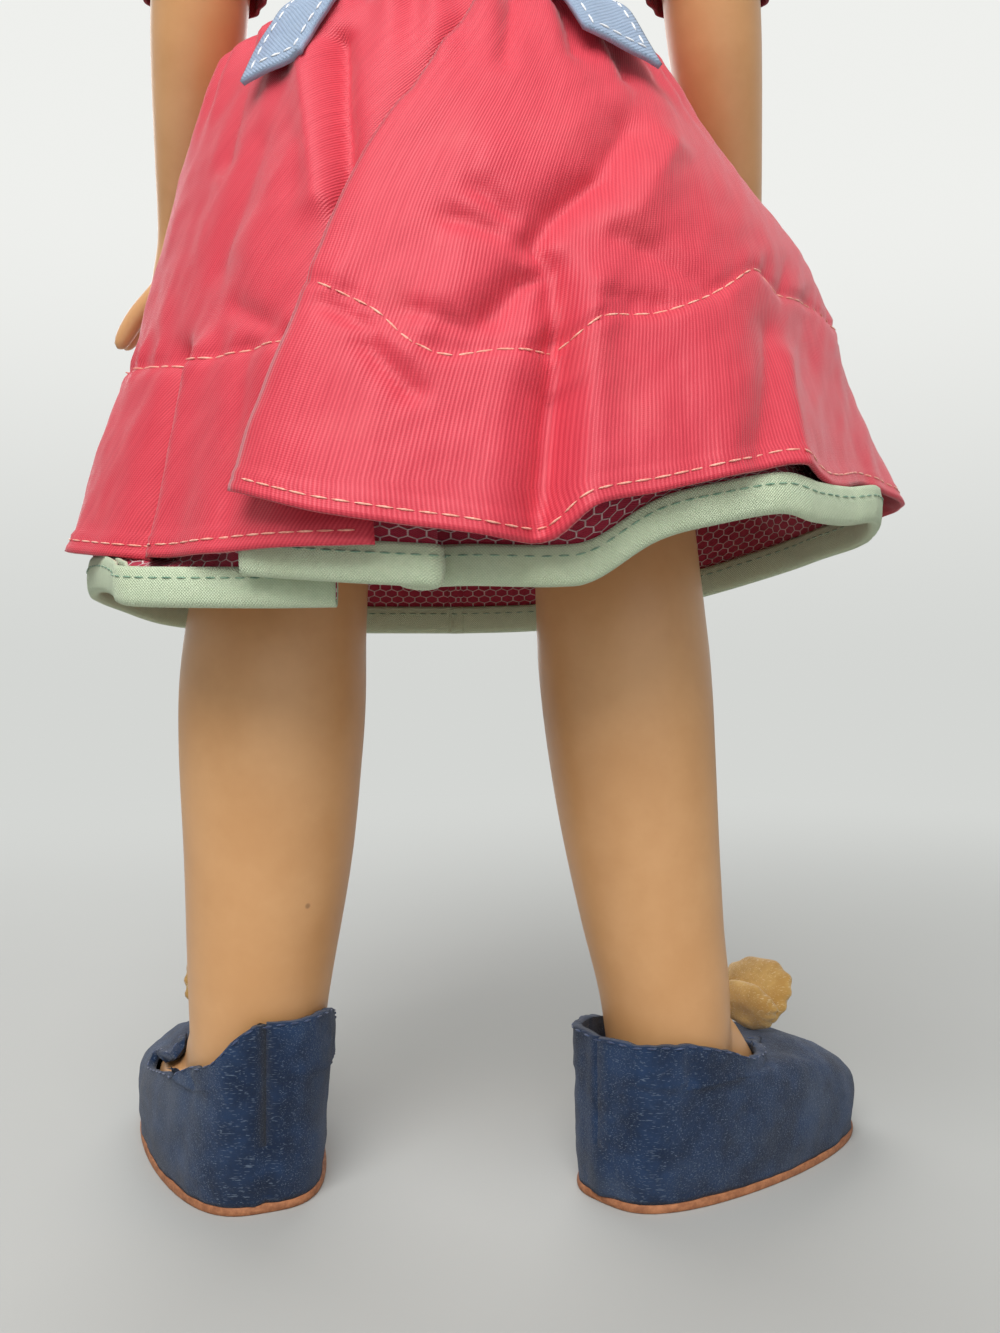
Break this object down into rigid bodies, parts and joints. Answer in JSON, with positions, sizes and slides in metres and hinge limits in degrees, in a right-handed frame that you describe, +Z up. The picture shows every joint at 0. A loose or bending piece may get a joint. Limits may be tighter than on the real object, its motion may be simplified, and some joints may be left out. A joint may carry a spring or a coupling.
{
  "type": "doll",
  "caption": "Strung hard plastic doll with swinging, twisting legs, swinging arms, turning head and sleep eyes, dressed in a gathered skirt, petticoat, vest and felt shoes",
  "frame": {"origin": "middle of the bounding box on the floor under the soles", "axes": "+Z up, -Y the way the doll faces, +X the doll's left"},
  "size_m": [0.1418, 0.1074, 0.3556],
  "materials": {
    "plastic": "hard moulded plastic, satin, tan",
    "steel": "drawn wire and bar",
    "weight": "cast weight, dull",
    "elastic": "round covered elastic cord",
    "eye": "polished",
    "lash": "stiff fibre",
    "hair": "set fibre, waved",
    "bodice": "plain cotton",
    "skirt": "fine ribbed taffeta",
    "petticoat": "cotton under white hexagonal net",
    "binding": "bias cotton tape, stitched",
    "vest": "woven cotton, topstitched",
    "felt": "napped felt",
    "sole": "thin sole leather",
    "pompom": "gathered ribbon ruffle"
  },
  "bodies": {
    "torso": {"torso_front": "plastic", "torso_back": "plastic", "left_leg_elastic": "elastic", "right_leg_elastic": "elastic", "arm_elastic": "elastic", "bodice": "bodice", "waistband": "skirt", "skirt": "skirt", "petticoat": "petticoat", "petticoat_binding": "binding", "vest": "vest"},
    "left_leg_swivel": {"left_leg_hook": "steel"},
    "right_leg_swivel": {"right_leg_hook": "steel"},
    "left_leg": {"left_leg_front": "plastic", "left_leg_back": "plastic", "left_shoe_sole": "sole", "left_shoe_upper": "felt", "left_shoe_pompom": "pompom"},
    "right_leg": {"right_leg_front": "plastic", "right_leg_back": "plastic", "right_shoe_sole": "sole", "right_shoe_upper": "felt", "right_shoe_pompom": "pompom"},
    "left_arm": {"left_arm_outer": "plastic", "left_arm_inner": "plastic", "left_arm_hook": "steel", "left_sleeve": "bodice"},
    "right_arm": {"right_arm_outer": "plastic", "right_arm_inner": "plastic", "right_arm_hook": "steel", "right_sleeve": "bodice"},
    "neck": {"neck_hook": "steel"},
    "head": {"head_face": "plastic", "head_back": "plastic", "head_bar": "steel", "wig": "hair"},
    "eyes": {"left_eye": "eye", "left_lashes": "lash", "right_eye": "eye", "right_lashes": "lash", "eye_rocker": "steel", "eye_weight": "weight"}
  },
  "joints": [
    {"name": "left_hip_swing", "type": "hinge", "parent": "torso", "child": "left_leg_swivel", "pos_m": [0.02611, -0.00012, 0.168], "axis": [-1, 0, 0], "range_deg": [-20, 90], "deforming": ["skirt", "petticoat", "petticoat_binding", "left_leg_elastic"]},
    {"name": "left_leg_twist", "type": "hinge", "parent": "left_leg_swivel", "child": "left_leg", "pos_m": [0.02611, -0.00012, 0.168], "axis": [-0.0872, 0, 0.9962], "range_deg": [-30, 40]},
    {"name": "right_hip_swing", "type": "hinge", "parent": "torso", "child": "right_leg_swivel", "pos_m": [-0.01789, -0.00012, 0.168], "axis": [-1, 0, 0], "range_deg": [-20, 90], "deforming": ["skirt", "petticoat", "petticoat_binding", "right_leg_elastic"]},
    {"name": "right_leg_twist", "type": "hinge", "parent": "right_leg_swivel", "child": "right_leg", "pos_m": [-0.01789, -0.00012, 0.168], "axis": [-0.0872, 0, -0.9962], "range_deg": [-55, 25]},
    {"name": "left_shoulder_swing", "type": "hinge", "parent": "torso", "child": "left_arm", "pos_m": [0.04411, -0.00012, 0.25], "axis": [-1, 0, 0], "range_deg": [-40, 135], "deforming": ["skirt", "arm_elastic"]},
    {"name": "right_shoulder_swing", "type": "hinge", "parent": "torso", "child": "right_arm", "pos_m": [-0.03589, -0.00012, 0.25], "axis": [-1, 0, 0], "range_deg": [-40, 135], "deforming": ["skirt", "arm_elastic"]},
    {"name": "neck_turn", "type": "hinge", "parent": "torso", "child": "neck", "pos_m": [0.00411, -0.00012, 0.262], "axis": [0, 0, 1], "range_deg": [-70, 70]},
    {"name": "neck_nod", "type": "hinge", "parent": "neck", "child": "head", "pos_m": [0.00411, -0.00012, 0.262], "axis": [1, 0, 0], "range_deg": [-8, 8]},
    {"name": "eye_sleep", "type": "hinge", "parent": "head", "child": "eyes", "pos_m": [0.00411, -0.02292, 0.3091], "axis": [1, 0, 0], "range_deg": [0, 46]}
  ]
}
